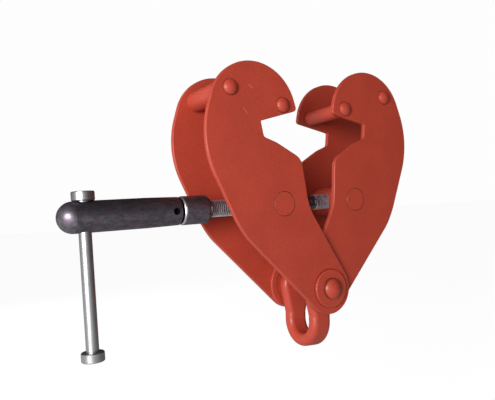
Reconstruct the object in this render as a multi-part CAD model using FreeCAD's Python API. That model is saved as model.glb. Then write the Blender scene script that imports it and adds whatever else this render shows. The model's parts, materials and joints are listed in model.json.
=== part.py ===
import FreeCAD, Part
import math
import os

# Screw-operated beam clamp: two hooked jaws on one load pin, drawn together by a spindle with a
# left-hand and a right-hand thread, and a shackle that hangs from the same pin.
# Millimetres.  +X runs along the spindle away from its handle, +Y to the rear and +Z up.
# The origin is the middle of the beam flange that the jaws grip.

V = FreeCAD.Vector
X_AXIS = V(1, 0, 0)
Y_AXIS = V(0, 1, 0)
Z_AXIS = V(0, 0, 1)
ORIGIN = V(0, 0, 0)

# Main heights and spacings
SPINDLE_Z = -72.0
PIN_Z = -157.0
NUT_X = 46.2
RUNNING_GAP = 0.05
CLOSE_GAP = 0.02
SIDE_GAP = 0.3
EDGE_ROUND = 1.0

# Jaw plates: the outer jaw's pair straddles the inner jaw's pair
PLATE_T = 4.8
OUTER_FACE_Y = 37.0
INNER_FACE_Y = OUTER_FACE_Y - PLATE_T - SIDE_GAP

# A jaw plate's outline, clockwise, as circles joined by their common tangents:
# (x, z, radius, side), where side is 1 for a convex corner and -1 for a hollow one
PIN_LOBE_R = 25.0
JAW_OUTLINE = [
    (0.0, PIN_Z, PIN_LOBE_R, 1),
    (-37.5, -59.5, 66.0, 1),
    (-13.0, -41.0, 96.5, 1),
    (-39.0, -9.2, 85.5, 1),
    (-72.0, 14.1, 46.8, 1),
    (-28.5, 18.6, 3.5, 1),
    (-64.5, 4.5, 1.5, -1),
    (-60.3, -6.2, 4.0, -1),
    (-66.4, -49.4, 38.6, 1),
    (-36.0, -38.7, 14.3, 1),
    (33.0, -60.0, 52.0, -1),
]

# Bars riveted across each jaw
TIE_BAR_AT = (-96.9, 35.1)
TIE_BAR_R = 10.0
TIP_BAR_AT = (-40.8, 20.9)
TIP_BAR_R = 7.5
RIVET_R = 6.0
RIVET_HEAD_R = 7.0
RIVET_HEAD_H = 4.6
CROWN_RIM = 0.38
CROWN_ROUND = 1.2
BAR_BEVEL = 0.6

# Threaded trunnion nuts
JOURNAL_R = 11.5
BARREL_R = 15.0
JOURNAL_BEVEL = 0.5

# Load pin with its washers, slotted nut and split pin
PIN_R = 8.0
PIN_HEAD_R = 10.0
PIN_HEAD_H = 7.0
WASHER_R = 18.5
WASHER_T = 3.0
WASHER_ROUND = 0.8
NUT_AF = 24.0
NUT_H = 13.0
NUT_BEVEL = (0.9, 1.6)
SLOT_W = 4.5
SLOT_DEPTH = 5.0
PIN_TAIL = 3.0
PIN_TAIL_BEVEL = 1.2
SPLIT_PIN_R = 1.8
SPLIT_EYE_R = 3.4
SPLIT_EYE_WIRE_R = 1.5
SPLIT_EYE_OFFSET = 3.6
SPLIT_LEG_R = 1.1
SPLIT_LEG_BEND = (2.0, 6.0)

# Shackle: a well-rounded strap bent into a U, with round eyes on the load pin; it hangs plumb
# while the clamp leans, so it stands at SHACKLE_HANG degrees to the clamp
STRAP_W = 22.4
STRAP_T = 12.6
STRAP_ROUND = 5.8
BOW_R = 13.6
BOW_Z = -191.2
EYE_R = 17.5
EYE_ROUND = 5.4
EYE_HOLE_R = PIN_R + 0.08
EYE_FOOT_DROP = 28.0
EYE_FOOT_ROUND = 6.0
EYE_FOOT_INSET = 0.3
SHACKLE_HANG = 4.0

# Spindle, M16 with a relief between its two threads
THREAD_R = 7.9
RELIEF_R = 6.7
RELIEF_HALF = 14.0
SPINDLE_END_X = 102.0
SPINDLE_HEAD_X = -150.0
SPINDLE_BEVEL = 1.4
STOP_WASHER_R = 13.0
STOP_WASHER_T = 3.0
STOP_GAP = 0.2
STOP_PIN_R = 2.0
STOP_BEVEL = 0.5
STOP_PIN_HALF = 12.0
STOP_PIN_X = 95.0

# Handle sleeve on the spindle's head
SLEEVE_R = 13.4
SLEEVE_END_R = 12.8
SLEEVE_TAPER = 30.0
DOME_X = -232.7
SLEEVE_END_X = -138.6
SLEEVE_BORE_R = 8.0
COLLAR_X = (-135.4, -112.6)
COLLAR_R = 13.2
COLLAR_NOSE = (-108.4, 9.8)
COLLAR_BEVEL = 0.3
COLLAR_BULGE = 0.62
RING_R = 12.9
RING_GROOVE = 1.7
RING_GROOVE_DEPTH = 1.6
RING_BEVEL = 0.8
ROLL_PIN_X = -145.2
ROLL_PIN_R = 3.0
ROLL_PIN_WALL = 1.2
ROLL_PIN_SLIT = 0.6
ROLL_PIN_SUNK = 4.6
ROLL_PIN_TILT = 2.0

# Sliding tommy bar
TOMMY_X = -223.5
TOMMY_R = 5.35
TOMMY_HOLE_R = TOMMY_R + 0.25
TOMMY_LENGTH = 140.2
CAP_R = 9.65
CAP_H = 7.9
CAP_BEVEL = 0.7
CAP_BORE_DEPTH = 5.5


def save(name, shape):
    """Write one sub-part after checking that it is a sound solid."""
    if not shape.isValid():
        raise ValueError(name + " is not a valid shape")
    shape.exportStep("parts/" + name + ".step")
    print(name, len(shape.Solids), round(shape.Volume / 1000.0, 3), "cm3")


def cylinder(radius, start, end):
    """A solid cylinder from one point to another."""
    run = end - start
    return Part.makeCylinder(radius, run.Length, start, run)


def turned(profile, start, axis):
    """Revolve a profile about an axis.  Profile points are (along, radius); a third item makes an
    arc to that point, bulging through (along, radius) given there."""
    edges = []
    for before, point in zip(profile, profile[1:]):
        p = V(before[0], before[1], 0)
        q = V(point[0], point[1], 0)
        if len(point) == 3:
            middle = V(point[2][0], point[2][1], 0)
            edges.append(Part.Arc(p, middle, q).toShape())
        else:
            edges.append(Part.makeLine(p, q))
    last = V(profile[-1][0], profile[-1][1], 0)
    first = V(profile[0][0], profile[0][1], 0)
    edges.append(Part.makeLine(last, first))
    solid = Part.Face(Part.Wire(edges)).revolve(ORIGIN, X_AXIS, 360)
    solid = Part.makeSolid(solid) if solid.ShapeType != "Solid" else solid
    turn = FreeCAD.Rotation(X_AXIS, axis)
    solid.Placement = FreeCAD.Placement(start, turn)
    return solid


def dome(start_along, radius, height, direction=1):
    """Profile points of a rivet head: a short cylinder that closes to a rounded crown."""
    edge = start_along + direction * CROWN_RIM * height
    tip = start_along + direction * height
    rise = (1 - CROWN_RIM) * height
    crown_r = (radius ** 2 + rise ** 2) / (2 * rise)
    half = 0.5 * math.asin(radius / crown_r)
    centre = tip - direction * crown_r
    middle = (centre + direction * crown_r * math.cos(half), crown_r * math.sin(half))
    return [(edge, radius), (tip, 0.0, middle)]


def rounded_heads(solid, radius):
    """Round the corner where each of a solid's domed heads turns into its rim."""
    corners = {}
    for edge in solid.Edges:
        box = edge.BoundBox
        if box.YLength < 0.01 and abs(box.XLength - 2 * radius) < 0.01:
            end = math.copysign(1, box.YMin)
            if end not in corners or abs(box.YMin) > abs(corners[end].BoundBox.YMin):
                corners[end] = edge
    return solid.makeFillet(CROWN_ROUND, list(corners.values()))


def tangent_line(first, second):
    """The common tangent from one outline circle to the next, clockwise."""
    x1, z1, r1, side1 = first
    x2, z2, r2, side2 = second
    dx = x2 - x1
    dz = z2 - z1
    offset = r2 * side2 - r1 * side1
    square = dx * dx + dz * dz
    length = math.sqrt(square - offset * offset)
    ux = (length * dx - offset * dz) / square
    uz = (length * dz + offset * dx) / square
    start = V(x1 - uz * r1 * side1, 0, z1 + ux * r1 * side1)
    end = V(x2 - uz * r2 * side2, 0, z2 + ux * r2 * side2)
    return start, end


def outline_wire(circles):
    """Closed wire of tangent lines and arcs round a list of circles."""
    count = len(circles)
    lines = []
    for i in range(count):
        lines.append(tangent_line(circles[i], circles[(i + 1) % count]))
    edges = []
    for i in range(count):
        x, z, radius, side = circles[(i + 1) % count]
        arc_start = lines[i][1]
        arc_end = lines[(i + 1) % count][0]
        a1 = math.atan2(arc_start.z - z, arc_start.x - x)
        a2 = math.atan2(arc_end.z - z, arc_end.x - x)
        sweep = -side * ((side * (a1 - a2)) % (2 * math.pi))
        middle_angle = a1 + sweep / 2
        middle = V(x + radius * math.cos(middle_angle), 0, z + radius * math.sin(middle_angle))
        edges.append(Part.makeLine(*lines[i]))
        edges.append(Part.Arc(arc_start, middle, arc_end).toShape())
    return Part.Wire(edges)


def mirrored_x(shape):
    return shape.mirror(ORIGIN, X_AXIS)


def jaw_plate(near_y):
    """One jaw plate, from near_y towards +Y, with its edges rounded and its holes bored."""
    face = Part.Face(outline_wire(JAW_OUTLINE))
    plate = face.extrude(V(0, PLATE_T, 0))
    plate.translate(V(0, near_y, 0))
    rims = []
    for edge in plate.Edges:
        box = edge.BoundBox
        if box.YLength < 0.01:
            rims.append(edge)
    plate = plate.makeFillet(EDGE_ROUND, rims)
    holes = [
        (0.0, PIN_Z, PIN_R + RUNNING_GAP),
        (-NUT_X, SPINDLE_Z, JOURNAL_R + RUNNING_GAP),
        (TIE_BAR_AT[0], TIE_BAR_AT[1], RIVET_R),
        (TIP_BAR_AT[0], TIP_BAR_AT[1], RIVET_R),
    ]
    for x, z, radius in holes:
        start = V(x, near_y - 1, z)
        plate = plate.cut(cylinder(radius, start, start + V(0, PLATE_T + 2, 0)))
    return plate


def cross_bar(at, radius, outer_face):
    """A bar across a jaw, with shouldered ends riveted over into domed heads."""
    x, z = at
    shoulder = outer_face - PLATE_T
    bevel = BAR_BEVEL
    rim, crown = dome(-outer_face, RIVET_HEAD_R, RIVET_HEAD_H, -1)
    profile = [
        (crown[0], 0.0),
        (rim[0], rim[1], crown[2]),
        (-outer_face, RIVET_HEAD_R),
        (-outer_face, RIVET_R),
        (-shoulder, RIVET_R),
        (-shoulder, radius - bevel),
        (-shoulder + bevel, radius),
        (shoulder - bevel, radius),
        (shoulder, radius - bevel),
        (shoulder, RIVET_R),
        (outer_face, RIVET_R),
        (outer_face, RIVET_HEAD_R),
    ]
    profile += dome(outer_face, RIVET_HEAD_R, RIVET_HEAD_H)
    return rounded_heads(turned(profile, V(x, 0, z), Y_AXIS), RIVET_HEAD_R)


def trunnion_nut(outer_face):
    """Barrel nut whose journals turn in the two plates of one jaw."""
    shoulder = outer_face - PLATE_T - SIDE_GAP / 2
    bevel = JOURNAL_BEVEL
    profile = [
        (-outer_face, 0.0),
        (-outer_face, JOURNAL_R - bevel),
        (-outer_face + bevel, JOURNAL_R),
        (-shoulder, JOURNAL_R),
        (-shoulder, BARREL_R - bevel),
        (-shoulder + bevel, BARREL_R),
        (shoulder - bevel, BARREL_R),
        (shoulder, BARREL_R - bevel),
        (shoulder, JOURNAL_R),
        (outer_face - bevel, JOURNAL_R),
        (outer_face, JOURNAL_R - bevel),
        (outer_face, 0.0),
    ]
    nut = turned(profile, V(-NUT_X, 0, SPINDLE_Z), Y_AXIS)
    bore = cylinder(
        THREAD_R + RUNNING_GAP,
        V(-NUT_X - BARREL_R - 1, 0, SPINDLE_Z),
        V(-NUT_X + BARREL_R + 1, 0, SPINDLE_Z),
    )
    return nut.cut(bore)


def pin_hole_axis(y):
    return V(0, y, PIN_Z)


def washer(near_y):
    """Flat washer under the load pin's head or nut, with a softened rim."""
    body = cylinder(WASHER_R, pin_hole_axis(near_y), pin_hole_axis(near_y + WASHER_T))
    rims = [edge for edge in body.Edges if edge.BoundBox.YLength < 0.01]
    body = body.makeFillet(WASHER_ROUND, rims)
    below = pin_hole_axis(near_y - 1)
    return body.cut(cylinder(PIN_R + RUNNING_GAP, below, pin_hole_axis(near_y + WASHER_T + 1)))


def slotted_nut(near_y):
    """Hexagon slotted nut with bevelled corners and six slots for the split pin."""
    corner = NUT_AF / math.sqrt(3)
    points = []
    for i in range(7):
        angle = math.radians(60 * i)
        points.append(V(corner * math.cos(angle), near_y, PIN_Z + corner * math.sin(angle)))
    hexagon = Part.Face(Part.makePolygon(points)).extrude(V(0, NUT_H, 0))
    slope, bevel = NUT_BEVEL
    envelope = turned(
        [
            (0.0, 0.0),
            (0.0, corner - bevel),
            (slope, corner),
            (NUT_H - slope, corner),
            (NUT_H, corner - bevel),
            (NUT_H, 0.0),
        ],
        pin_hole_axis(near_y),
        Y_AXIS,
    )
    nut = hexagon.common(envelope)
    slot_y = near_y + NUT_H - SLOT_DEPTH
    for i in range(3):
        slot = Part.makeBox(2 * corner + 2, SLOT_DEPTH + 1, SLOT_W)
        slot.translate(V(-corner - 1, slot_y, PIN_Z - SLOT_W / 2))
        slot.rotate(pin_hole_axis(0), Y_AXIS, 60 * i + 30)
        nut = nut.cut(slot)
    below = pin_hole_axis(near_y - 1)
    return nut.cut(cylinder(PIN_R + CLOSE_GAP, below, pin_hole_axis(near_y + NUT_H + 1)))


def load_pin():
    """Load pin with a domed head at the front and a cross hole near its tail."""
    head_y = -OUTER_FACE_Y - WASHER_T
    tail_y = OUTER_FACE_Y + WASHER_T + NUT_H + PIN_TAIL
    rim, crown = dome(head_y, PIN_HEAD_R, PIN_HEAD_H, -1)
    profile = [
        (head_y - PIN_HEAD_H, 0.0),
        (rim[0], rim[1], crown[2]),
        (head_y, PIN_HEAD_R),
        (head_y, PIN_R),
        (tail_y - PIN_TAIL_BEVEL, PIN_R),
        (tail_y, PIN_R - PIN_TAIL_BEVEL),
        (tail_y, 0.0),
    ]
    pin = rounded_heads(turned(profile, pin_hole_axis(0), Y_AXIS), PIN_HEAD_R)
    centre = pin_hole_axis(split_pin_y())
    reach = 1.5 * PIN_R * slot_direction()
    return pin.cut(cylinder(SPLIT_PIN_R + CLOSE_GAP, centre - reach, centre + reach))


def split_pin_y():
    return OUTER_FACE_Y + WASHER_T + NUT_H - SLOT_DEPTH / 2


def slot_direction():
    angle = math.radians(30)
    return V(math.cos(angle), 0, math.sin(angle))


def split_pin():
    """Split pin: a round eye, a straight shank through the load pin and two legs bent apart."""
    along = slot_direction()
    across = V(-along.z, 0, along.x)
    centre = pin_hole_axis(split_pin_y())
    reach = NUT_AF / 2 + 1.5
    shank = cylinder(SPLIT_PIN_R, centre - reach * along, centre + reach * along)
    eye_centre = centre + (reach + SPLIT_EYE_OFFSET) * along
    eye = Part.makeTorus(SPLIT_EYE_R, SPLIT_EYE_WIRE_R, eye_centre, Y_AXIS)
    body = shank.fuse(eye)
    foot = centre - reach * along
    for side in (-1, 1):
        leg_end = foot - SPLIT_LEG_BEND[0] * along + side * SPLIT_LEG_BEND[1] * across
        leg = cylinder(SPLIT_LEG_R, foot, leg_end)
        tip = Part.makeSphere(SPLIT_LEG_R, leg_end)
        body = body.fuse(leg).fuse(tip)
    joint = Part.makeSphere(SPLIT_PIN_R, foot)
    return body.fuse(joint).removeSplitter()


def rounded_strip(width, thickness, radius):
    """Closed wire of a rounded rectangle centred on the origin in the XY plane."""
    w = width / 2
    t = thickness / 2
    corners = [(w, t, 0), (-w, t, 90), (-w, -t, 180), (w, -t, 270)]
    points = []
    for x, y, turn in corners:
        cx = x - math.copysign(radius, x)
        cy = y - math.copysign(radius, y)
        arc = []
        for step in (0, 45, 90):
            angle = math.radians(turn + step)
            arc.append(V(cx + radius * math.cos(angle), cy + radius * math.sin(angle), 0))
        points.append(arc)
    edges = []
    for i in range(4):
        arc = points[i]
        after = points[(i + 1) % 4]
        edges.append(Part.Arc(arc[0], arc[1], arc[2]).toShape())
        edges.append(Part.makeLine(arc[2], after[0]))
    return Part.Wire(edges)


def shackle():
    """Strap shackle: two eyes on the load pin, tapering legs and a half-round bow."""
    leg_y = BOW_R + STRAP_T / 2
    section = Part.Face(rounded_strip(STRAP_W, STRAP_T, STRAP_ROUND))
    section.translate(V(0, leg_y, BOW_Z))
    bow = section.revolve(V(0, 0, BOW_Z), X_AXIS, -180)
    body = bow
    for side in (-1, 1):
        strap = Part.Face(rounded_strip(STRAP_W, STRAP_T, STRAP_ROUND))
        strap.translate(V(0, side * leg_y, BOW_Z))
        leg = strap.extrude(V(0, 0, PIN_Z - BOW_Z))
        body = body.fuse(leg)
        eye = eye_plate()
        eye.translate(V(0, side * leg_y - STRAP_T / 2, 0))
        body = body.fuse(eye)
    body = body.removeSplitter()
    reach = BOW_R + STRAP_T + 2
    body = body.cut(cylinder(EYE_HOLE_R, pin_hole_axis(-reach), pin_hole_axis(reach)))
    body.rotate(pin_hole_axis(0), Y_AXIS, SHACKLE_HANG)
    return body


def eye_plate():
    """Round eye that tapers into the strap, with softened edges; it starts at y = 0."""
    foot_x = STRAP_W / 2 - EYE_FOOT_INSET - EYE_FOOT_ROUND
    foot_z = PIN_Z - EYE_FOOT_DROP
    circles = [
        (0.0, PIN_Z, EYE_R, 1),
        (foot_x, foot_z, EYE_FOOT_ROUND, 1),
        (-foot_x, foot_z, EYE_FOOT_ROUND, 1),
    ]
    face = Part.Face(outline_wire(circles))
    plate = face.extrude(V(0, STRAP_T, 0))
    rims = [edge for edge in plate.Edges if edge.BoundBox.YLength < 0.01]
    return plate.makeFillet(EYE_ROUND, rims)


def spindle_point(x):
    return V(x, 0, SPINDLE_Z)


def spindle():
    """Spindle with two threaded lengths, a relief between them and a plain head for the sleeve."""
    bevel = SPINDLE_BEVEL
    profile = [
        (SPINDLE_HEAD_X, 0.0),
        (SPINDLE_HEAD_X, THREAD_R - bevel),
        (SPINDLE_HEAD_X + bevel, THREAD_R),
        (-RELIEF_HALF - bevel, THREAD_R),
        (-RELIEF_HALF, RELIEF_R),
        (RELIEF_HALF, RELIEF_R),
        (RELIEF_HALF + bevel, THREAD_R),
        (SPINDLE_END_X - bevel, THREAD_R),
        (SPINDLE_END_X, THREAD_R - bevel),
        (SPINDLE_END_X, 0.0),
    ]
    rod = turned(profile, spindle_point(0), X_AXIS)
    across = V(0, 2 * STOP_PIN_HALF, 0)
    stop_hole = spindle_point(STOP_PIN_X) - across
    rod = rod.cut(cylinder(STOP_PIN_R, stop_hole, stop_hole + 2 * across))
    centre = spindle_point(ROLL_PIN_X)
    reach = roll_pin_reach(2 * THREAD_R)
    return rod.cut(cylinder(ROLL_PIN_R, centre - reach, centre + reach))


def stop_washer():
    """Loose washer that the stop pin keeps on the spindle's free end."""
    end = STOP_PIN_X - STOP_PIN_R - STOP_GAP
    start = end - STOP_WASHER_T
    ring = cylinder(STOP_WASHER_R, spindle_point(start), spindle_point(end))
    ring = ring.makeFillet(STOP_BEVEL, [e for e in ring.Edges if e.BoundBox.XLength < 0.01])
    return ring.cut(cylinder(THREAD_R + RUNNING_GAP, spindle_point(start - 1), spindle_point(end + 1)))


def stop_pin():
    """Spring pin across the spindle's free end."""
    half = V(0, STOP_PIN_HALF, 0)
    body = cylinder(STOP_PIN_R, spindle_point(STOP_PIN_X) - half, spindle_point(STOP_PIN_X) + half)
    return body.makeChamfer(STOP_BEVEL, [e for e in body.Edges if e.BoundBox.YLength < 0.01])


def roll_pin_reach(half_length):
    """Half the roll pin's axis as a vector; the pin leans a little below the horizontal."""
    tilt = math.radians(ROLL_PIN_TILT)
    return half_length * V(0, math.cos(tilt), math.sin(tilt))


def roll_pin():
    """Spring pin that locks the sleeve to the spindle, sunk below the sleeve's surface."""
    centre = spindle_point(ROLL_PIN_X)
    half = roll_pin_reach(SLEEVE_R - ROLL_PIN_SUNK)
    body = cylinder(ROLL_PIN_R, centre - half, centre + half)
    hole = cylinder(ROLL_PIN_R - ROLL_PIN_WALL, centre - 2 * half, centre + 2 * half)
    slit = Part.makeBox(ROLL_PIN_R + 1, 4 * half.Length, ROLL_PIN_SLIT)
    slit.translate(centre + V(0, -2 * half.Length, -ROLL_PIN_SLIT / 2))
    slit.rotate(centre, X_AXIS, ROLL_PIN_TILT)
    return body.cut(hole).cut(slit)


def handle_sleeve():
    """Heavy tube over the spindle's head, bored across for the tommy bar and the roll pin."""
    profile = [
        (DOME_X, SLEEVE_BORE_R),
        (DOME_X, SLEEVE_R),
        (SLEEVE_END_X - SLEEVE_TAPER, SLEEVE_R),
        (SLEEVE_END_X - 1.0, SLEEVE_END_R),
        (SLEEVE_END_X, SLEEVE_END_R - 1.0),
        (SLEEVE_END_X, SLEEVE_BORE_R),
    ]
    tube = turned(profile, spindle_point(0), X_AXIS)
    across = V(0, 0, 2 * SLEEVE_R)
    centre = spindle_point(TOMMY_X)
    tube = tube.cut(cylinder(TOMMY_HOLE_R, centre - across, centre + across))
    across = roll_pin_reach(2 * SLEEVE_R)
    centre = spindle_point(ROLL_PIN_X)
    return tube.cut(cylinder(ROLL_PIN_R, centre - across, centre + across))


def handle_dome():
    """Hemispherical end plug, with a spigot pressed into the sleeve's bore."""
    spigot_end = TOMMY_X - TOMMY_HOLE_R - 0.3
    half = math.radians(45)
    middle = (DOME_X - SLEEVE_R * math.cos(half), SLEEVE_R * math.sin(half))
    profile = [
        (DOME_X - SLEEVE_R, 0.0),
        (DOME_X, SLEEVE_R, middle),
        (DOME_X, SLEEVE_BORE_R),
        (spigot_end, SLEEVE_BORE_R),
        (spigot_end, 0.0),
    ]
    return turned(profile, spindle_point(0), X_AXIS)


def lock_ring():
    """Bright bevelled ring between the sleeve's end and the collar."""
    start = SLEEVE_END_X
    end = COLLAR_X[0]
    waist_r = SLEEVE_END_R - RING_GROOVE_DEPTH
    rim = start + RING_GROOVE
    profile = [
        (start, THREAD_R),
        (start, waist_r),
        (rim, waist_r),
        (rim, RING_R - RING_BEVEL),
        (rim + RING_BEVEL, RING_R),
        (end, RING_R),
        (end, THREAD_R),
    ]
    return turned(profile, spindle_point(0), X_AXIS)


def spindle_collar():
    """Collar screwed up to the sleeve, rounded off towards the jaws."""
    start, end = COLLAR_X
    nose_x, nose_r = COLLAR_NOSE
    bulge_x = end + COLLAR_BULGE * (nose_x - end)
    bulge_r = nose_r + COLLAR_BULGE * (COLLAR_R - nose_r)
    profile = [
        (start, THREAD_R),
        (start, COLLAR_R - COLLAR_BEVEL),
        (start + COLLAR_BEVEL, COLLAR_R),
        (end, COLLAR_R),
        (nose_x, nose_r, (bulge_x, bulge_r)),
        (nose_x, THREAD_R),
    ]
    return turned(profile, spindle_point(0), X_AXIS)


def tommy_z():
    """Heights of the bar's two ends with its upper cap resting on the sleeve."""
    top = SPINDLE_Z + SLEEVE_R + CAP_H
    return top - TOMMY_LENGTH, top


def tommy_bar():
    """Sliding bar, a little shorter at each end than its caps."""
    low, high = tommy_z()
    inset = CAP_H - CAP_BORE_DEPTH
    return cylinder(TOMMY_R, V(TOMMY_X, 0, low + inset), V(TOMMY_X, 0, high - inset))


def tommy_cap(z, direction):
    """Blind cap pressed on one end of the bar; z is its closed end."""
    bevel = CAP_BEVEL
    profile = [
        (0.0, 0.0),
        (0.0, CAP_R - bevel),
        (bevel, CAP_R),
        (CAP_H - bevel, CAP_R),
        (CAP_H, CAP_R - bevel),
        (CAP_H, TOMMY_R),
        (CAP_H - CAP_BORE_DEPTH, TOMMY_R),
        (CAP_H - CAP_BORE_DEPTH, 0.0),
    ]
    return turned(profile, V(TOMMY_X, 0, z), direction)


def make_jaws():
    """Both jaws with their plates, cross bars and trunnion nuts."""
    for name, outer_face in (("outer", OUTER_FACE_Y), ("inner", INNER_FACE_Y)):
        pieces = {
            name + "_plate_front": jaw_plate(-outer_face),
            name + "_plate_rear": jaw_plate(outer_face - PLATE_T),
            name + "_tie_bar": cross_bar(TIE_BAR_AT, TIE_BAR_R, outer_face),
            name + "_tip_bar": cross_bar(TIP_BAR_AT, TIP_BAR_R, outer_face),
            name + "_trunnion_nut": trunnion_nut(outer_face),
        }
        for piece, shape in pieces.items():
            if name == "inner":
                shape = mirrored_x(shape)
            save(piece, shape)


def make_load_pin():
    """Load pin and the parts that keep it in place."""
    rear_washer_y = OUTER_FACE_Y
    nut_y = rear_washer_y + WASHER_T
    save("load_pin", load_pin())
    save("front_pin_washer", washer(-OUTER_FACE_Y - WASHER_T))
    save("rear_pin_washer", washer(rear_washer_y))
    save("slotted_nut", slotted_nut(nut_y))
    save("split_pin", split_pin())


def make_handle():
    """Spindle with its handle, stop and sliding bar."""
    low, high = tommy_z()
    save("spindle", spindle())
    save("stop_washer", stop_washer())
    save("stop_pin", stop_pin())
    save("handle_sleeve", handle_sleeve())
    save("handle_dome", handle_dome())
    save("roll_pin", roll_pin())
    save("lock_ring", lock_ring())
    save("spindle_collar", spindle_collar())
    save("tommy_bar", tommy_bar())
    save("tommy_cap_top", tommy_cap(high, V(0, 0, -1)))
    save("tommy_cap_bottom", tommy_cap(low, Z_AXIS))


os.makedirs("parts", exist_ok=True)
make_jaws()
make_load_pin()
save("shackle", shackle())
make_handle()
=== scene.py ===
import json
import math

import bmesh
import bpy
from mathutils import Matrix, Vector


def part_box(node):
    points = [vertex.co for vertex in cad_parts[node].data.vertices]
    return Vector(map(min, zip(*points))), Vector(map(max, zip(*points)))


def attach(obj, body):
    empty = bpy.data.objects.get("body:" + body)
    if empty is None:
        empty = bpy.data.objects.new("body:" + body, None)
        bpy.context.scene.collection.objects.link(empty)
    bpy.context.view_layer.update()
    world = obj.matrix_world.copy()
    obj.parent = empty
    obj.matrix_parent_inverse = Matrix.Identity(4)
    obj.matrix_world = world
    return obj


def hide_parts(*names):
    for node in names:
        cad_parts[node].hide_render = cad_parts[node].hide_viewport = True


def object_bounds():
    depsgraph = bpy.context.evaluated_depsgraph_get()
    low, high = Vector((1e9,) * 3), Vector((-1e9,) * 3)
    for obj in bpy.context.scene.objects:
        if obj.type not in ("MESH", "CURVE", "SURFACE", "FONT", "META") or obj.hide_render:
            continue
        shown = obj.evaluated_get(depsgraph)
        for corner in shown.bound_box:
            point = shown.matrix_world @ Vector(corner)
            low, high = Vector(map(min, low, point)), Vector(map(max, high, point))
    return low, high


# Screw-operated beam clamp in metres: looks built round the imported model.
# +X runs along the spindle away from its handle, +Y to the rear and +Z up.

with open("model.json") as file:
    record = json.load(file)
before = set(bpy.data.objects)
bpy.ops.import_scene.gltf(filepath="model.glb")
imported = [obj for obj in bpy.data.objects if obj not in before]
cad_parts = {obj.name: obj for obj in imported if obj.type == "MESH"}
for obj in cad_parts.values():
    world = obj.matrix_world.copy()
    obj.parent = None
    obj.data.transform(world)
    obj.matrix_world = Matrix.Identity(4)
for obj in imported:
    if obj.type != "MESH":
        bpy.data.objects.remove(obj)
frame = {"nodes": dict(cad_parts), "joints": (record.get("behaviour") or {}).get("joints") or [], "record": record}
cad_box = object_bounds()
nodes = frame["nodes"]
record = frame["record"]

# Camera: turned from +Y towards +X, tipped up a little and rolled
CAMERA_AT = Vector((-0.35657, -0.47291, -0.07741))
CAMERA_TURN = math.radians(31.74)
CAMERA_TIP = math.radians(1.21)
CAMERA_ROLL = math.radians(-4.02)
CAMERA_LENS = 41.58
CAMERA_SENSOR = 36.0

# Spindle thread: pitch and depth of M16, with flats on its crests and in its roots
PITCH = 0.002
THREAD_DEPTH = 0.00122
CREST_SHARE = 0.16
ROOT_SHARE = 0.22
FLANK_SHARE = (1.0 - CREST_SHARE - ROOT_SHARE) / 2
TURN_STEPS = 48

# Rows of points along one pitch, as shares of it: root, both flanks and crest
THREAD_MARKS = (
    0.0,
    ROOT_SHARE,
    ROOT_SHARE + FLANK_SHARE / 2,
    ROOT_SHARE + FLANK_SHARE,
    ROOT_SHARE + FLANK_SHARE + CREST_SHARE,
    1.0 - FLANK_SHARE / 2,
)

# Spindle: half the bare middle between its threads, the bevels of its ends, how far a thread
# starts inside the collar, how far the tip's thread fades, and the reach that joins its stretches
RELIEF_HALF = 0.014
RELIEF_BEVEL = 0.0014
COLLAR_OVERLAP = 0.003
TIP_BEVEL = 0.0005
TIP_FADE = 0.0016
WELD = 1e-6

# Depths below the lock ring's face between which the painted shade in its groove thins out
GROOVE_FLOOR = 0.0013
GROOVE_MOUTH = 0.0009

# How far wear reaches in from an edge
EDGE_WEAR = 0.0009

# Radii of the rivets' heads and the nuts' journals, and the width of the painted shade round them
HEAD_R = 0.0073
JOURNAL_R = 0.0115
SHADE_RING_WIDTH = 0.0009

# Fine scratches on the outer jaw's front plate: start and end (x, z), and half a width
OUTER_SCRATCHES = (
    ((-0.0790, 0.0395), (-0.0715, 0.0345), 0.00035),
    ((-0.0850, 0.0180), (-0.0800, 0.0105), 0.00035),
)

# How far the roll pin's axis leans from +Y towards +Z
ROLL_PIN_TILT = math.radians(2.0)

# The floor: how far below the clamp, and half its side
FLOOR_DROP = 0.14
FLOOR_HALF = 30.0

# Lights: name, place, size, power in watts, and whether metal mirrors it
LIT_POINT = (-0.05, 0.0, -0.07)
LIGHTS = (
    ("key", (-1.20, -0.94, 0.18), (0.9, 0.6), 16.0, True),
    ("spark", (-1.10, -0.72, -0.02), (0.5, 0.5), 8.5, True),
    ("rim", (-1.3, 0.7, 0.5), (0.4, 0.9), 8.0, False),
    ("rear", (-0.35, 1.5, 0.5), (0.9, 0.9), 11.0, False),
)

# Direction from which the surroundings are brightest: to the left and a little in front
BRIGHT_SIDE = (-0.93, -0.37, 0.0)

# The floor's glow on the clamp, strong on the bright side and weak opposite, and as seen itself
FLOOR_LEFT = 0.62
FLOOR_RIGHT = 0.10
FLOOR_SEEN = 0.95

# Strength of the sky on the bright side and opposite, the share of it from above, and as seen
SKY_LEFT = 0.55
SKY_RIGHT = 0.07
SKY_TOP = 0.35
SKY_SEEN = 0.985


# ---------------------------------------------------------------- frame values


def joint(name):
    """The record's joint of that name."""
    return next(j for j in frame["joints"] if j["name"] == name)


def slot_colour(name):
    """Base colour of one of the record's material slots."""
    found = next(m for m in record["materials"] if m["slot"] == name)
    return tuple(found["base_color"][:3])


def radius_of(node):
    """Radius of a round node whose axis lies across the clamp or along the spindle."""
    low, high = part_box(node)
    return (high.z - low.z) / 2


def shade(colour, factor):
    """A colour made darker or lighter by a factor."""
    return tuple(min(1.0, c * factor) for c in colour)


SPINDLE_AXIS = Vector(joint("spindle_turn")["pos_m"])
PIN_AXIS = Vector(joint("outer_jaw_swing")["pos_m"])
OUTER_NUT_AXIS = Vector(joint("outer_nut_level")["pos_m"])
INNER_NUT_AXIS = Vector(joint("inner_nut_level")["pos_m"])


# ------------------------------------------------------------- node-tree tools


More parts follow.
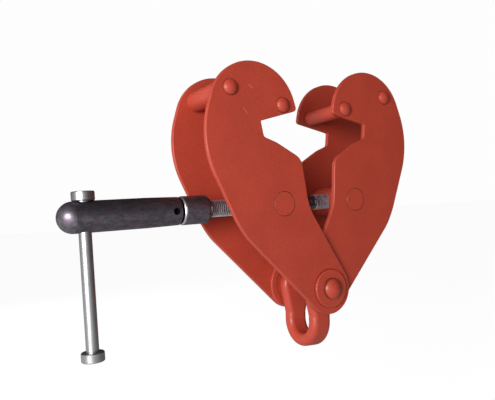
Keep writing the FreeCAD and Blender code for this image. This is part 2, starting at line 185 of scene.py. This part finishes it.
class Look:
    """A material whose node tree is built step by step, in the object's own coordinates."""

    def __init__(self, name):
        self.material = bpy.data.materials.new(name)
        self.material.use_nodes = True
        self.tree = self.material.node_tree
        self.shader = self.tree.nodes["Principled BSDF"]
        self.place = self.tree.nodes.new("ShaderNodeTexCoord").outputs["Object"]

    def add(self, kind, **settings):
        node = self.tree.nodes.new(kind)
        for key, value in settings.items():
            setattr(node, key, value)
        return node

    def wire(self, value, socket):
        """Link an output, or write a plain value, into an input socket."""
        if isinstance(value, bpy.types.NodeSocket):
            self.tree.links.new(value, socket)
        elif isinstance(value, tuple) and len(value) == 3 and socket.type == "RGBA":
            socket.default_value = value + (1.0,)
        else:
            socket.default_value = value

    def sums(self, operation, first, second=0.0):
        """Output of a math node; a single-input operation leaves the second value out."""
        node = self.add("ShaderNodeMath", operation=operation)
        self.wire(first, node.inputs[0])
        self.wire(second, node.inputs[1])
        return node.outputs[0]

    def vectors(self, operation, first, second=(0.0, 0.0, 0.0)):
        """A vector math node, whose outputs are Vector or Value as the operation needs."""
        node = self.add("ShaderNodeVectorMath", operation=operation)
        self.wire(first, node.inputs[0])
        self.wire(second, node.inputs[1])
        return node

    def noise(self, scale, detail=3.0, roughness=0.5, stretch=(1.0, 1.0, 1.0), shift=0.0):
        """Noise from 0 to 1 over the surface; a small stretch draws it out along that axis."""
        moved = self.add("ShaderNodeMapping")
        self.wire(self.place, moved.inputs["Vector"])
        moved.inputs["Scale"].default_value = stretch
        moved.inputs["Location"].default_value = (shift, shift, shift)
        node = self.add("ShaderNodeTexNoise")
        self.wire(moved.outputs[0], node.inputs["Vector"])
        node.inputs["Scale"].default_value = scale
        node.inputs["Detail"].default_value = detail
        node.inputs["Roughness"].default_value = roughness
        return node.outputs["Fac"]

    def span(self, value, low, high, to_low=0.0, to_high=1.0):
        """Map a value smoothly from one range to another, clamped."""
        node = self.add("ShaderNodeMapRange", interpolation_type="SMOOTHSTEP")
        for key, number in zip((0, 1, 2, 3, 4), (value, low, high, to_low, to_high)):
            self.wire(number, node.inputs[key])
        return node.outputs[0]

    def blend(self, share, first, second):
        """Colour mix: first at share 0 and second at share 1."""
        node = self.add("ShaderNodeMix", data_type="RGBA")
        self.wire(share, node.inputs[0])
        self.wire(first, node.inputs[6])
        self.wire(second, node.inputs[7])
        return node.outputs[2]

    def axis_distance(self, point, across):
        """Distance of the surface from an axis through point; across drops the axis' own part."""
        offset = self.vectors("SUBTRACT", self.place, tuple(point)).outputs[0]
        flat = self.vectors("MULTIPLY", offset, across).outputs[0]
        return self.vectors("LENGTH", flat).outputs["Value"]

    def ring(self, distance, radius, width):
        """A soft ring mask, 1 on the radius and 0 beyond the width on either side."""
        away = self.sums("ABSOLUTE", self.sums("SUBTRACT", distance, radius))
        return self.span(away, 0.0, width, 1.0, 0.0)

    def either(self, *masks):
        """The strongest of several masks."""
        total = masks[0]
        for mask in masks[1:]:
            total = self.sums("MAXIMUM", total, mask)
        return total

    def stroke(self, start, end, width):
        """Mask of a fine straight scratch between two points on a front or rear face (x, z)."""
        x1, z1 = start
        x2, z2 = end
        length = math.hypot(x2 - x1, z2 - z1)
        along = (x2 - x1) / length, 0.0, (z2 - z1) / length
        side = -along[2], 0.0, along[0]
        offset = self.vectors("SUBTRACT", self.place, (x1, 0.0, z1)).outputs[0]
        run = self.vectors("DOT_PRODUCT", offset, along).outputs["Value"]
        drift = self.vectors("DOT_PRODUCT", offset, side).outputs["Value"]
        centred = self.sums("ABSOLUTE", self.sums("SUBTRACT", run, length / 2))
        inside = self.span(centred, length * 0.2, length * 0.5, 1.0, 0.0)
        close = self.span(self.sums("ABSOLUTE", drift), width * 0.3, width, 1.0, 0.0)
        return self.sums("MULTIPLY", inside, close)

    def edge_mask(self, radius):
        """1 where the surface bends within the radius and 0 on its flat stretches."""
        bevel = self.add("ShaderNodeBevel", samples=4)
        bevel.inputs["Radius"].default_value = radius
        plain = self.add("ShaderNodeNewGeometry").outputs["Normal"]
        match = self.vectors("DOT_PRODUCT", bevel.outputs[0], plain).outputs["Value"]
        return self.span(match, 0.90, 0.995, 1.0, 0.0)

    def relief(self, layers):
        """Stack bump layers of (height, strength, distance) into the shader's normal."""
        normal = None
        for height, strength, distance in layers:
            node = self.add("ShaderNodeBump")
            node.inputs["Strength"].default_value = strength
            node.inputs["Distance"].default_value = distance
            self.wire(height, node.inputs["Height"])
            if normal is not None:
                self.wire(normal, node.inputs["Normal"])
            normal = node.outputs[0]
        self.wire(normal, self.shader.inputs["Normal"])

    def finish(self, colour, roughness, metallic, coat=0.0):
        """Wire the shader's main inputs and hand back the material."""
        self.wire(colour, self.shader.inputs["Base Color"])
        self.wire(roughness, self.shader.inputs["Roughness"])
        self.wire(metallic, self.shader.inputs["Metallic"])
        self.shader.inputs["Coat Weight"].default_value = coat
        self.shader.inputs["Coat Roughness"].default_value = COAT_ROUGHNESS
        return self.material


# --------------------------------------------------------------------- looks

# What is left of an offset across an axis along Y, and across one along X
XZ = (1.0, 0.0, 1.0)
YZ = (0.0, 1.0, 1.0)

# Colours and surface values that more than the record's base colours need
# Black painted shade, with its roughness, for a cross hole, a groove and a hidden shank
SHADE_BLACK = (0.012, 0.010, 0.012)
SHADE_ROUGHNESS = 0.9
COAT_ROUGHNESS = 0.12
PAINT_SPECULAR = 0.35
RUBBED_PAINT = (0.55, 0.13, 0.08)
CHIPPED_PAINT = (0.50, 0.27, 0.22)
SCRATCHED_PAINT = (0.62, 0.34, 0.28)
WARM_STEEL = (0.165, 0.085, 0.125)
YELLOW_BLOOM = (0.32, 0.27, 0.17)
BRIGHT_CREST = (0.93, 0.88, 0.96)


def red_paint(name, shift=0.0, scratches=(), rings=(), coat=0.14):
    """Satin enamel: fine grain, faint orange peel, thin grime, rubbed edges and pale scratches, and rings of
    painted shade round parts that meet it.
    """
    look = Look(name)
    base = slot_colour("red_paint")
    cloud = look.noise(30.0, detail=3.0, shift=shift)
    grain = look.noise(1100.0, detail=3.0, roughness=0.7, shift=shift)
    runs = look.noise(170.0, detail=5.0, roughness=0.7, shift=shift + 3.0)
    tone = look.blend(look.span(cloud, 0.35, 0.68), shade(base, 0.95), shade(base, 1.05))
    tone = look.blend(look.span(grain, 0.35, 0.70, 0.42, 0.0), tone, shade(base, 0.50))
    tone = look.blend(look.span(runs, 0.56, 0.80, 0.0, 0.40), tone, shade(base, 0.50))
    roughness = look.span(runs, 0.3, 0.8, 0.38, 0.52)
    height = look.noise(650.0, detail=2.0, shift=shift)
    worn = look.edge_mask(EDGE_WEAR)
    chips = look.span(look.noise(420.0, detail=4.0, roughness=0.65, shift=shift), 0.50, 0.62)
    tone = look.blend(look.sums("MULTIPLY", worn, 0.35), tone, RUBBED_PAINT)
    chipped = look.sums("MULTIPLY", look.sums("MULTIPLY", worn, chips), 0.6)
    tone = look.blend(chipped, tone, CHIPPED_PAINT)
    # Painted shade: the paint is darkened in rings round parts that sit on it.
    if rings:
        dark = look.either(*[look.ring(look.axis_distance(p, XZ), r, w) for p, r, w in rings])
        tone = look.blend(look.sums("MULTIPLY", dark, 0.7), tone, shade(base, 0.22))
    if scratches:
        pale = look.either(*[look.stroke(start, end, width) for start, end, width in scratches])
        broken = look.span(look.noise(900.0, detail=2.0), 0.35, 0.6)
        pale = look.sums("MULTIPLY", pale, look.sums("MULTIPLY", broken, 0.55))
        tone = look.blend(pale, tone, SCRATCHED_PAINT)
    look.relief([(height, 0.22, 0.0001), (grain, 0.15, 0.00008)])
    look.shader.inputs["Specular IOR Level"].default_value = PAINT_SPECULAR
    return look.finish(tone, roughness, 0.0, coat=coat)


def dark_steel(name, shift=0.0, lift=1.0, hole=None):
    """Oiled tube skin: dark and finely mottled along its length, with paler rubbed patches; the
    wall of a cross hole (centre, axis and radius) is painted black as shade."""
    look = Look(name)
    base = shade(slot_colour("dark_steel"), lift)
    streaks = look.noise(300.0, detail=5.0, roughness=0.7, stretch=(0.45, 1.0, 1.0), shift=shift)
    patches = look.noise(95.0, detail=4.0, roughness=0.6, stretch=(0.6, 1.0, 1.0), shift=shift + 2.0)
    grain = look.noise(1200.0, detail=3.0, roughness=0.7, shift=shift)
    tone = look.blend(look.span(streaks, 0.35, 0.68), shade(base, 0.62), shade(base, 1.35))
    tone = look.blend(look.span(patches, 0.45, 0.75, 0.0, 0.55), tone, shade(base, 2.0))
    warm = look.span(look.noise(160.0, detail=4.0, shift=shift + 5.0), 0.42, 0.75, 0.0, 0.6)
    tone = look.blend(warm, tone, WARM_STEEL)
    tone = look.blend(look.span(grain, 0.45, 0.8, 0.0, 0.4), tone, shade(base, 2.6))
    roughness = look.span(streaks, 0.3, 0.75, 0.46, 0.36)
    # Painted shade: the cross hole's wall is painted black and made rough.
    if hole is not None:
        centre, axis, radius = hole
        offset = look.vectors("SUBTRACT", look.place, centre).outputs[0]
        lever = look.vectors("CROSS_PRODUCT", offset, axis).outputs[0]
        away = look.vectors("LENGTH", lever).outputs["Value"]
        hole_shade = look.span(away, radius + 0.0001, radius + 0.0003, 1.0, 0.0)
        tone = look.blend(hole_shade, tone, SHADE_BLACK)
        roughness = look.sums("MAXIMUM", roughness, look.sums("MULTIPLY", hole_shade, SHADE_ROUGHNESS))
    look.relief([(grain, 0.2, 0.00008), (streaks, 0.12, 0.00015)])
    return look.finish(tone, roughness, 0.92)


def bright_steel(name, stretch, shift=0.0, tint=1.0, groove=None):
    """Drawn bright steel with fine lines along its length and a few dull stains; a groove
    (inner and outer radius about the spindle) gets painted shade: black inside the inner radius, fading out by the
    outer."""
    look = Look(name)
    base = shade(slot_colour("bright_steel"), tint)
    lines = look.noise(2600.0, detail=2.0, stretch=stretch, shift=shift)
    stains = look.noise(120.0, detail=5.0, roughness=0.65, shift=shift)
    tone = look.blend(look.span(lines, 0.3, 0.7), shade(base, 0.88), shade(base, 1.08))
    tone = look.blend(look.span(stains, 0.52, 0.8, 0.0, 0.6), tone, shade(base, 0.40))
    roughness = look.span(stains, 0.35, 0.8, 0.33, 0.45)
    # Painted shade in the groove.
    if groove is not None:
        radius = look.axis_distance(SPINDLE_AXIS, YZ)
        groove_shade = look.span(radius, groove[0], groove[1], 1.0, 0.0)
        tone = look.blend(groove_shade, tone, SHADE_BLACK)
    look.relief([(lines, 0.05, 0.00003)])
    return look.finish(tone, roughness, 1.0)


def plated_steel(name, lift=1.0, dull=0.0):
    """Zinc plate with a cloudy, slightly yellow bloom; dull adds to its roughness."""
    look = Look(name)
    base = shade(slot_colour("plated_steel"), lift)
    bloom = look.noise(180.0, detail=5.0, roughness=0.6)
    tone = look.blend(look.span(bloom, 0.35, 0.7), shade(base, 0.6), shade(base, 1.15))
    tone = look.blend(look.span(bloom, 0.6, 0.8, 0.0, 0.6), tone, shade(YELLOW_BLOOM, lift))
    look.relief([(look.noise(1200.0), 0.2, 0.00008)])
    return look.finish(tone, look.span(bloom, 0.3, 0.8, 0.3 + dull, 0.5 + dull), 0.95)


def thread_steel(name, crest_r, root_r, shank_end):
    """Rolled thread: rubbed bright crests over dark greased roots; the shank inside the handle
    is painted black as shade."""
    look = Look(name)
    base = slot_colour("thread_steel")
    radius = look.axis_distance(SPINDLE_AXIS, YZ)
    crest = look.span(radius, root_r + 0.25 * (crest_r - root_r), crest_r, 0.0, 1.0)
    worn = look.noise(260.0, detail=5.0, roughness=0.65)
    crest = look.sums("MULTIPLY", crest, look.span(worn, 0.25, 0.6, 0.45, 1.0))
    grease = look.blend(look.span(worn, 0.35, 0.7), shade(base, 0.35), shade(base, 1.3))
    tone = look.blend(crest, grease, BRIGHT_CREST)
    roughness = look.span(crest, 0.0, 1.0, 0.48, 0.30)
    # Painted shade: the shank inside the handle is painted black and made rough.
    along = look.vectors("DOT_PRODUCT", look.place, (1.0, 0.0, 0.0)).outputs["Value"]
    inside = look.span(along, shank_end - 0.001, shank_end, 1.0, 0.0)
    tone = look.blend(inside, tone, SHADE_BLACK)
    roughness = look.sums("MAXIMUM", roughness, look.sums("MULTIPLY", inside, SHADE_ROUGHNESS))
    look.relief([(look.noise(1600.0), 0.15, 0.00006)])
    return look.finish(tone, roughness, 0.95)


def dress(node, material):
    """Give a CAD node its finish."""
    mesh = nodes[node].data
    mesh.materials.clear()
    mesh.materials.append(material)


# ------------------------------------------------------------- threaded spindle


def thread_height(share):
    """Height of the thread form, 0 in the root and 1 on the crest, at a share of one pitch."""
    if share < ROOT_SHARE:
        return 0.0
    if share < ROOT_SHARE + FLANK_SHARE:
        return (share - ROOT_SHARE) / FLANK_SHARE
    if share < ROOT_SHARE + FLANK_SHARE + CREST_SHARE:
        return 1.0
    return (1.0 - share) / FLANK_SHARE


def thread_rows(start, end, hand, crest_r, fade_start, fade_end):
    """Rings of points of a threaded length along X.  The rows follow the helix, so that its
    edges stay crisp; hand is 1 for a right-hand thread.  The form fades to its root over
    fade_start and fade_end at the two ends."""
    turns = math.ceil((end - start) / PITCH) + 1
    rows = []
    for turn in range(-1, turns):
        for mark in THREAD_MARKS:
            row = []
            for step in range(TURN_STEPS):
                angle = 2 * math.pi * step / TURN_STEPS
                x = start + PITCH * (turn + mark + hand * angle / (2 * math.pi))
                x = min(max(x, start), end)
                from_start = min(1.0, (x - start) / fade_start)
                from_end = min(1.0, (end - x) / fade_end)
                depth = THREAD_DEPTH * thread_height(mark) * min(from_start, from_end)
                radius = crest_r - THREAD_DEPTH + depth
                row.append((x, radius * math.cos(angle), radius * math.sin(angle)))
            rows.append(row)
    return rows


def weld(mesh):
    """Join the stretches of a mesh into one closed skin with its faces turned outwards."""
    skin = bmesh.new()
    skin.from_mesh(mesh)
    bmesh.ops.remove_doubles(skin, verts=skin.verts, dist=WELD)
    bmesh.ops.dissolve_degenerate(skin, edges=skin.edges, dist=WELD)
    bmesh.ops.recalc_face_normals(skin, faces=skin.faces)
    skin.to_mesh(mesh)
    skin.free()


def threaded_spindle():
    """The spindle with real opposed threads, which stands for the plain CAD spindle."""
    low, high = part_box("spindle")
    crest_r = (high.z - low.z) / 2
    thread_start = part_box("spindle_collar")[1].x - COLLAR_OVERLAP
    tip_start = high.x - TIP_BEVEL
    mesh = bpy.data.meshes.new("spindle_threaded")
    points = []
    faces = []

    def add_thread(start, end, hand, fade_start, fade_end):
        """Skin over the rows of one threaded length; its seam steps on by one pitch."""
        rows = thread_rows(start, end, hand, crest_r, fade_start, fade_end)
        first = len(points)
        for row in rows:
            points.extend(row)
        count = len(rows)
        for r in range(count - 1):
            for s in range(TURN_STEPS):
                a = first + r * TURN_STEPS + s
                b = first + (r + 1) * TURN_STEPS + s
                if s + 1 < TURN_STEPS:
                    c = b + 1
                    d = a + 1
                else:
                    shift = len(THREAD_MARKS) * hand
                    row_d = min(max(r + shift, 0), count - 1)
                    row_c = min(max(r + 1 + shift, 0), count - 1)
                    c = first + row_c * TURN_STEPS
                    d = first + row_d * TURN_STEPS
                faces.append((a, b, c, d))

    add_thread(thread_start, -RELIEF_HALF, -1, PITCH, RELIEF_BEVEL)
    add_thread(RELIEF_HALF, tip_start, 1, RELIEF_BEVEL, TIP_FADE)

    def add_lathe(profile):
        """Revolved skin through (x, radius) points; a zero radius closes it with a fan."""
        rings = []
        for x, radius in profile:
            ring = []
            if radius == 0.0:
                ring.append(len(points))
                points.append((x, 0.0, 0.0))
            else:
                for step in range(TURN_STEPS):
                    angle = 2 * math.pi * step / TURN_STEPS
                    ring.append(len(points))
                    points.append((x, radius * math.cos(angle), radius * math.sin(angle)))
            rings.append(ring)
        for before, after in zip(rings, rings[1:]):
            for s in range(TURN_STEPS):
                t = (s + 1) % TURN_STEPS
                if len(before) == 1:
                    faces.append((before[0], after[s], after[t]))
                elif len(after) == 1:
                    faces.append((before[s], after[0], before[t]))
                else:
                    faces.append((before[s], after[s], after[t], before[t]))

    root_r = crest_r - THREAD_DEPTH
    add_lathe([
        (low.x, 0.0),
        (low.x, crest_r - RELIEF_BEVEL),
        (low.x + RELIEF_BEVEL, crest_r),
        (thread_start - TIP_BEVEL, crest_r),
        (thread_start, root_r),
    ])
    add_lathe([(-RELIEF_HALF, root_r), (RELIEF_HALF, root_r)])
    add_lathe([(tip_start, root_r), (high.x, root_r - TIP_BEVEL), (high.x, 0.0)])

    mesh.from_pydata(points, [], faces)
    weld(mesh)
    rod = bpy.data.objects.new("spindle_threaded", mesh)
    bpy.context.scene.collection.objects.link(rod)
    mesh.transform(Matrix.Translation(SPINDLE_AXIS))
    for polygon in mesh.polygons:
        polygon.use_smooth = False
    mesh.materials.append(thread_steel("thread_steel", crest_r, root_r, thread_start))
    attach(rod, "spindle")
    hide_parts("spindle")


# ----------------------------------------------------------------- dress nodes


def dress_jaws():
    """Each jaw's plates, bars and nut, with painted shade in rings round each journal, rivet and washer."""
    washer_r = radius_of("front_pin_washer")
    for jaw, axis in (("outer", OUTER_NUT_AXIS), ("inner", INNER_NUT_AXIS)):
        # Rings of painted shade: round the nut's journal, the pin's washer and each bar's rivet head.
        journal_shade = (tuple(axis), JOURNAL_R, SHADE_RING_WIDTH)
        joints = [journal_shade, (tuple(PIN_AXIS), washer_r, SHADE_RING_WIDTH)]
        for bar in ("_tie_bar", "_tip_bar"):
            bar_low, bar_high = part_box(jaw + bar)
            joints.append((tuple((bar_low + bar_high) / 2), HEAD_R, SHADE_RING_WIDTH))
        scratches = OUTER_SCRATCHES if jaw == "outer" else ()
        front = red_paint(jaw + "_paint", rings=joints, scratches=scratches)
        rear = red_paint(jaw + "_rear_paint", shift=1.7, rings=joints)
        dress(jaw + "_plate_front", front)
        dress(jaw + "_plate_rear", rear)
        bars = red_paint(jaw + "_bar_paint", shift=2.9)
        dress(jaw + "_tie_bar", bars)
        dress(jaw + "_tip_bar", bars)
        nut = red_paint(jaw + "_nut_paint", shift=4.1, rings=(journal_shade,))
        dress(jaw + "_trunnion_nut", nut)


def dress_pin():
    """The load pin with its fastenings, the shackle, and the plated pins and washer."""
    # A ring of painted shade where the pin's head meets its washer.
    head_shade = (tuple(PIN_AXIS), radius_of("load_pin"), SHADE_RING_WIDTH)
    paint = red_paint("pin_paint", shift=5.3, rings=(head_shade,), coat=0.3)
    for node in ("load_pin", "front_pin_washer", "rear_pin_washer", "slotted_nut"):
        dress(node, paint)
    dress("shackle", red_paint("shackle_paint", shift=6.6))
    plate = plated_steel("plated_steel")
    for node in ("split_pin", "stop_washer", "stop_pin"):
        dress(node, plate)
    # Painted shade: the roll pin deep in its hole is darkened nearly to black and dulled.
    dress("roll_pin", plated_steel("shade_black_plate", lift=0.03, dull=0.45))


def dress_handle():
    """The sleeve, its plug, collar and bright ring, and the sliding bar with its caps."""
    pin_low, pin_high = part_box("roll_pin")
    pin_axis = (0.0, math.cos(ROLL_PIN_TILT), math.sin(ROLL_PIN_TILT))
    pin_r = (pin_high.x - pin_low.x) / 2
    pin_hole = (tuple((pin_low + pin_high) / 2), pin_axis, pin_r)
    # The sleeve's cross hole round the roll pin gets painted shade.
    dress("handle_sleeve", dark_steel("sleeve_steel", lift=0.85, hole=pin_hole))
    dress("handle_dome", dark_steel("dome_steel", shift=2.0, lift=1.25))
    dress("spindle_collar", dark_steel("collar_steel", shift=4.0))
    along_z = (1.0, 1.0, 0.02)
    dress("tommy_bar", bright_steel("bar_steel", along_z, tint=0.85))
    dress("tommy_cap_top", bright_steel("cap_steel", along_z, shift=1.0, tint=0.85))
    dress("tommy_cap_bottom", bright_steel("foot_steel", along_z, shift=2.0, tint=0.85))
    ring_r = radius_of("lock_ring")
    # The lock ring's groove gets painted shade.
    groove = (ring_r - GROOVE_FLOOR, ring_r - GROOVE_MOUTH)
    along_x = (0.05, 1.0, 1.0)
    ring = bright_steel("ring_steel", along_x, shift=3.0, tint=1.25, groove=groove)
    dress("lock_ring", ring)


# ------------------------------------------------------------------- the stage


def camera():
    """The camera at the photograph's viewing angle."""
    forward = Vector((
        math.sin(CAMERA_TURN) * math.cos(CAMERA_TIP),
        math.cos(CAMERA_TURN) * math.cos(CAMERA_TIP),
        math.sin(CAMERA_TIP),
    ))
    level = Vector((math.cos(CAMERA_TURN), -math.sin(CAMERA_TURN), 0.0))
    upright = level.cross(forward)
    right = level * math.cos(CAMERA_ROLL) + upright * math.sin(CAMERA_ROLL)
    up = right.cross(forward)
    data = bpy.data.cameras.new("camera")
    data.sensor_width = CAMERA_SENSOR
    data.lens = CAMERA_LENS
    data.clip_start = 0.01
    view = bpy.data.objects.new("camera", data)
    bpy.context.scene.collection.objects.link(view)
    turn = Matrix((right, up, -forward)).transposed().to_4x4()
    view.matrix_world = Matrix.Translation(CAMERA_AT) @ turn
    bpy.context.scene.camera = view


def area_light(name, at, aim, size, power, mirrored):
    """Soft light; one that isn't mirrored lights surfaces but leaves no reflection in metal."""
    data = bpy.data.lights.new(name, "AREA")
    data.shape = "RECTANGLE"
    data.size, data.size_y = size
    data.energy = power
    lamp = bpy.data.objects.new(name, data)
    bpy.context.scene.collection.objects.link(lamp)
    lamp.location = at
    lamp.visible_glossy = mirrored
    lamp.rotation_euler = (Vector(aim) - Vector(at)).to_track_quat("-Z", "Y").to_euler()


def floor():
    """A wide pale floor below the hanging clamp."""
    drop = cad_box[0][2] - FLOOR_DROP
    mesh = bpy.data.meshes.new("floor")
    signs = ((-1, -1), (1, -1), (1, 1), (-1, 1))
    corners = [(FLOOR_HALF * x, FLOOR_HALF * y, drop) for x, y in signs]
    mesh.from_pydata(corners, [], [(0, 1, 2, 3)])
    ground = bpy.data.objects.new("floor", mesh)
    bpy.context.scene.collection.objects.link(ground)
    look = Look("floor_pale")
    cloud = look.noise(2.0)
    tone = look.blend(look.span(cloud, 0.3, 0.7), (0.07, 0.07, 0.07), (0.09, 0.09, 0.09))
    look.finish(tone, 0.9, 0.0)
    sideways = look.vectors("DOT_PRODUCT", look.place, BRIGHT_SIDE).outputs["Value"]
    glow = look.span(sideways, -0.7, 0.9, FLOOR_RIGHT, FLOOR_LEFT)
    seen = look.add("ShaderNodeLightPath").outputs["Is Camera Ray"]
    look.wire(look.span(seen, 0.0, 1.0, glow, FLOOR_SEEN), look.shader.inputs["Emission Strength"])
    look.shader.inputs["Emission Color"].default_value = (1.0, 1.0, 1.0, 1.0)
    mesh.materials.append(look.material)


def sky():
    """Pale surroundings: strong on the bright side, dim opposite and above."""
    world = bpy.data.worlds.new("studio")
    world.use_nodes = True
    bpy.context.scene.world = world
    tree = world.node_tree
    back = tree.nodes["Background"]
    coords = tree.nodes.new("ShaderNodeTexCoord")

    def falloff(direction, low, high, to_low, to_high):
        """Strength that changes with the angle to a direction."""
        dot = tree.nodes.new("ShaderNodeVectorMath")
        dot.operation = "DOT_PRODUCT"
        tree.links.new(coords.outputs["Generated"], dot.inputs[0])
        dot.inputs[1].default_value = direction
        span = tree.nodes.new("ShaderNodeMapRange")
        tree.links.new(dot.outputs["Value"], span.inputs[0])
        for index, number in zip((1, 2, 3, 4), (low, high, to_low, to_high)):
            span.inputs[index].default_value = number
        return span.outputs[0]

    sideways = falloff(BRIGHT_SIDE, -0.4, 0.95, SKY_RIGHT, SKY_LEFT)
    upwards = falloff((0.0, 0.0, 1.0), -0.35, 0.45, 1.0, SKY_TOP)
    both = tree.nodes.new("ShaderNodeMath")
    both.operation = "MULTIPLY"
    tree.links.new(sideways, both.inputs[0])
    tree.links.new(upwards, both.inputs[1])
    ray = tree.nodes.new("ShaderNodeLightPath")
    seen = tree.nodes.new("ShaderNodeMix")
    tree.links.new(ray.outputs["Is Camera Ray"], seen.inputs[0])
    tree.links.new(both.outputs[0], seen.inputs[2])
    seen.inputs[3].default_value = SKY_SEEN
    tree.links.new(seen.outputs[0], back.inputs["Strength"])
    back.inputs["Color"].default_value = (1.0, 1.0, 1.0, 1.0)


def lights():
    """Every light of the list, aimed at the clamp."""
    for name, at, size, power, mirrored in LIGHTS:
        area_light(name, at, LIT_POINT, size, power, mirrored)


threaded_spindle()
dress_jaws()
dress_pin()
dress_handle()
floor()
sky()
lights()
camera()
bpy.context.scene.view_settings.view_transform = "Standard"
